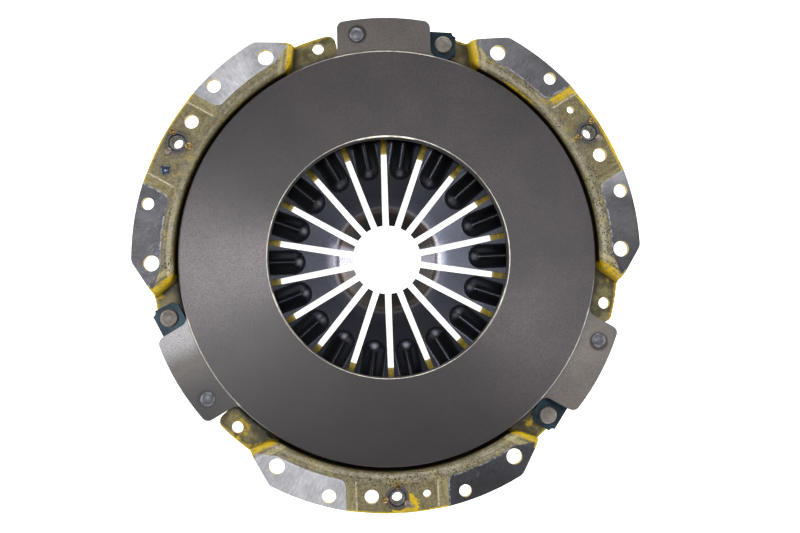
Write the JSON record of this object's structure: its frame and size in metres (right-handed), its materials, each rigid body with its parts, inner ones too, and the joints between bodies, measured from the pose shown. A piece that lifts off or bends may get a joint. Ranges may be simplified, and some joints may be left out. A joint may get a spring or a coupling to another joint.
{
  "type": "clutch pressure plate",
  "caption": "Diaphragm-spring clutch cover with a cast pressure plate, drive straps, bolt flanges and release fingers.",
  "frame": {"origin": "centre of the bolt flanges' ground mounting plane, on the clutch axis", "axes": "+Z along the clutch axis towards the flywheel; +X to the right and +Y up as seen from the flywheel side"},
  "size_m": [0.3095, 0.3039, 0.0444],
  "materials": {
    "cover_paint": "worn yellow coating over pressed steel",
    "friction_iron": "ground, used",
    "spring_steel": "dark, oiled, semi-gloss",
    "strap_steel": "blued",
    "rivet_steel": "dull grey",
    "ring_steel": "drawn wire",
    "nut_steel": "dark"
  },
  "bodies": {
    "cover": {"cover": "cover_paint", "fulcrum_ring_rear": "ring_steel", "fulcrum_ring_front": "ring_steel", "fulcrum_rivets": "rivet_steel", "weld_nuts": "nut_steel", "balance_rivet": "rivet_steel", "strap_cover_rivets": "rivet_steel", "drive_strap_1_leaf_1": "strap_steel", "drive_strap_1_leaf_2": "strap_steel", "drive_strap_1_leaf_3": "strap_steel", "drive_strap_2_leaf_1": "strap_steel", "drive_strap_2_leaf_2": "strap_steel", "drive_strap_2_leaf_3": "strap_steel", "drive_strap_3_leaf_1": "strap_steel", "drive_strap_3_leaf_2": "strap_steel", "drive_strap_3_leaf_3": "strap_steel"},
    "pressure_plate": {"pressure_plate": "friction_iron", "lug_rivets": "rivet_steel"},
    "finger_01": {"diaphragm_finger_01": "spring_steel"},
    "finger_02": {"diaphragm_finger_02": "spring_steel"},
    "finger_03": {"diaphragm_finger_03": "spring_steel"},
    "finger_04": {"diaphragm_finger_04": "spring_steel"},
    "finger_05": {"diaphragm_finger_05": "spring_steel"},
    "finger_06": {"diaphragm_finger_06": "spring_steel"},
    "finger_07": {"diaphragm_finger_07": "spring_steel"},
    "finger_08": {"diaphragm_finger_08": "spring_steel"},
    "finger_09": {"diaphragm_finger_09": "spring_steel"},
    "finger_10": {"diaphragm_finger_10": "spring_steel"},
    "finger_11": {"diaphragm_finger_11": "spring_steel"},
    "finger_12": {"diaphragm_finger_12": "spring_steel"},
    "finger_13": {"diaphragm_finger_13": "spring_steel"},
    "finger_14": {"diaphragm_finger_14": "spring_steel"},
    "finger_15": {"diaphragm_finger_15": "spring_steel"},
    "finger_16": {"diaphragm_finger_16": "spring_steel"},
    "finger_17": {"diaphragm_finger_17": "spring_steel"},
    "finger_18": {"diaphragm_finger_18": "spring_steel"}
  },
  "joints": [
    {"name": "plate_lift", "type": "slide", "parent": "cover", "child": "pressure_plate", "axis": [0, 0, -1], "range_m": [0, 0.0052], "stiffness_N_per_m": 25000, "springref_m": -0.005, "deforming": ["drive_strap_1_leaf_1", "drive_strap_1_leaf_2", "drive_strap_1_leaf_3", "drive_strap_2_leaf_1", "drive_strap_2_leaf_2", "drive_strap_2_leaf_3", "drive_strap_3_leaf_1", "drive_strap_3_leaf_2", "drive_strap_3_leaf_3"]},
    {"name": "finger_01_rock", "type": "hinge", "parent": "cover", "child": "finger_01", "pos_m": [0.08994, 0.00314, -0.0305], "axis": [-0.0349, 0.9994, 0], "range_deg": [0, 13.2]},
    {"name": "finger_02_rock", "type": "hinge", "parent": "cover", "child": "finger_02", "pos_m": [0.08345, 0.03372, -0.0305], "axis": [-0.3746, 0.9272, 0], "range_deg": [0, 13.2]},
    {"name": "finger_03_rock", "type": "hinge", "parent": "cover", "child": "finger_03", "pos_m": [0.06688, 0.06022, -0.0305], "axis": [-0.6691, 0.7431, 0], "range_deg": [0, 13.2]},
    {"name": "finger_04_rock", "type": "hinge", "parent": "cover", "child": "finger_04", "pos_m": [0.04225, 0.07946, -0.0305], "axis": [-0.8829, 0.4695, 0], "range_deg": [0, 13.2]},
    {"name": "finger_05_rock", "type": "hinge", "parent": "cover", "child": "finger_05", "pos_m": [0.01253, 0.08912, -0.0305], "axis": [-0.9903, 0.1392, 0], "range_deg": [0, 13.2]},
    {"name": "finger_06_rock", "type": "hinge", "parent": "cover", "child": "finger_06", "pos_m": [-0.01871, 0.08803, -0.0305], "axis": [-0.9781, -0.2079, 0], "range_deg": [0, 13.2]},
    {"name": "finger_07_rock", "type": "hinge", "parent": "cover", "child": "finger_07", "pos_m": [-0.04769, 0.07632, -0.0305], "axis": [-0.848, -0.5299, 0], "range_deg": [0, 13.2]},
    {"name": "finger_08_rock", "type": "hinge", "parent": "cover", "child": "finger_08", "pos_m": [-0.07092, 0.05541, -0.0305], "axis": [-0.6157, -0.788, 0], "range_deg": [0, 13.2]},
    {"name": "finger_09_rock", "type": "hinge", "parent": "cover", "child": "finger_09", "pos_m": [-0.0856, 0.02781, -0.0305], "axis": [-0.309, -0.9511, 0], "range_deg": [0, 13.2]},
    {"name": "finger_10_rock", "type": "hinge", "parent": "cover", "child": "finger_10", "pos_m": [-0.08994, -0.00314, -0.0305], "axis": [0.0349, -0.9994, 0], "range_deg": [0, 13.2]},
    {"name": "finger_11_rock", "type": "hinge", "parent": "cover", "child": "finger_11", "pos_m": [-0.08345, -0.03372, -0.0305], "axis": [0.3746, -0.9272, 0], "range_deg": [0, 13.2]},
    {"name": "finger_12_rock", "type": "hinge", "parent": "cover", "child": "finger_12", "pos_m": [-0.06688, -0.06022, -0.0305], "axis": [0.6691, -0.7431, 0], "range_deg": [0, 13.2]},
    {"name": "finger_13_rock", "type": "hinge", "parent": "cover", "child": "finger_13", "pos_m": [-0.04225, -0.07946, -0.0305], "axis": [0.8829, -0.4695, 0], "range_deg": [0, 13.2]},
    {"name": "finger_14_rock", "type": "hinge", "parent": "cover", "child": "finger_14", "pos_m": [-0.01253, -0.08912, -0.0305], "axis": [0.9903, -0.1392, 0], "range_deg": [0, 13.2]},
    {"name": "finger_15_rock", "type": "hinge", "parent": "cover", "child": "finger_15", "pos_m": [0.01871, -0.08803, -0.0305], "axis": [0.9781, 0.2079, 0], "range_deg": [0, 13.2]},
    {"name": "finger_16_rock", "type": "hinge", "parent": "cover", "child": "finger_16", "pos_m": [0.04769, -0.07632, -0.0305], "axis": [0.848, 0.5299, 0], "range_deg": [0, 13.2]},
    {"name": "finger_17_rock", "type": "hinge", "parent": "cover", "child": "finger_17", "pos_m": [0.07092, -0.05541, -0.0305], "axis": [0.6157, 0.788, 0], "range_deg": [0, 13.2]},
    {"name": "finger_18_rock", "type": "hinge", "parent": "cover", "child": "finger_18", "pos_m": [0.0856, -0.02781, -0.0305], "axis": [0.309, 0.9511, 0], "range_deg": [0, 13.2]}
  ],
  "couplings": [
    {"joint": "finger_01_rock", "follows": "plate_lift", "rad_per_m": 43.478},
    {"joint": "finger_02_rock", "follows": "plate_lift", "rad_per_m": 43.478},
    {"joint": "finger_03_rock", "follows": "plate_lift", "rad_per_m": 43.478},
    {"joint": "finger_04_rock", "follows": "plate_lift", "rad_per_m": 43.478},
    {"joint": "finger_05_rock", "follows": "plate_lift", "rad_per_m": 43.478},
    {"joint": "finger_06_rock", "follows": "plate_lift", "rad_per_m": 43.478},
    {"joint": "finger_07_rock", "follows": "plate_lift", "rad_per_m": 43.478},
    {"joint": "finger_08_rock", "follows": "plate_lift", "rad_per_m": 43.478},
    {"joint": "finger_09_rock", "follows": "plate_lift", "rad_per_m": 43.478},
    {"joint": "finger_10_rock", "follows": "plate_lift", "rad_per_m": 43.478},
    {"joint": "finger_11_rock", "follows": "plate_lift", "rad_per_m": 43.478},
    {"joint": "finger_12_rock", "follows": "plate_lift", "rad_per_m": 43.478},
    {"joint": "finger_13_rock", "follows": "plate_lift", "rad_per_m": 43.478},
    {"joint": "finger_14_rock", "follows": "plate_lift", "rad_per_m": 43.478},
    {"joint": "finger_15_rock", "follows": "plate_lift", "rad_per_m": 43.478},
    {"joint": "finger_16_rock", "follows": "plate_lift", "rad_per_m": 43.478},
    {"joint": "finger_17_rock", "follows": "plate_lift", "rad_per_m": 43.478},
    {"joint": "finger_18_rock", "follows": "plate_lift", "rad_per_m": 43.478}
  ]
}
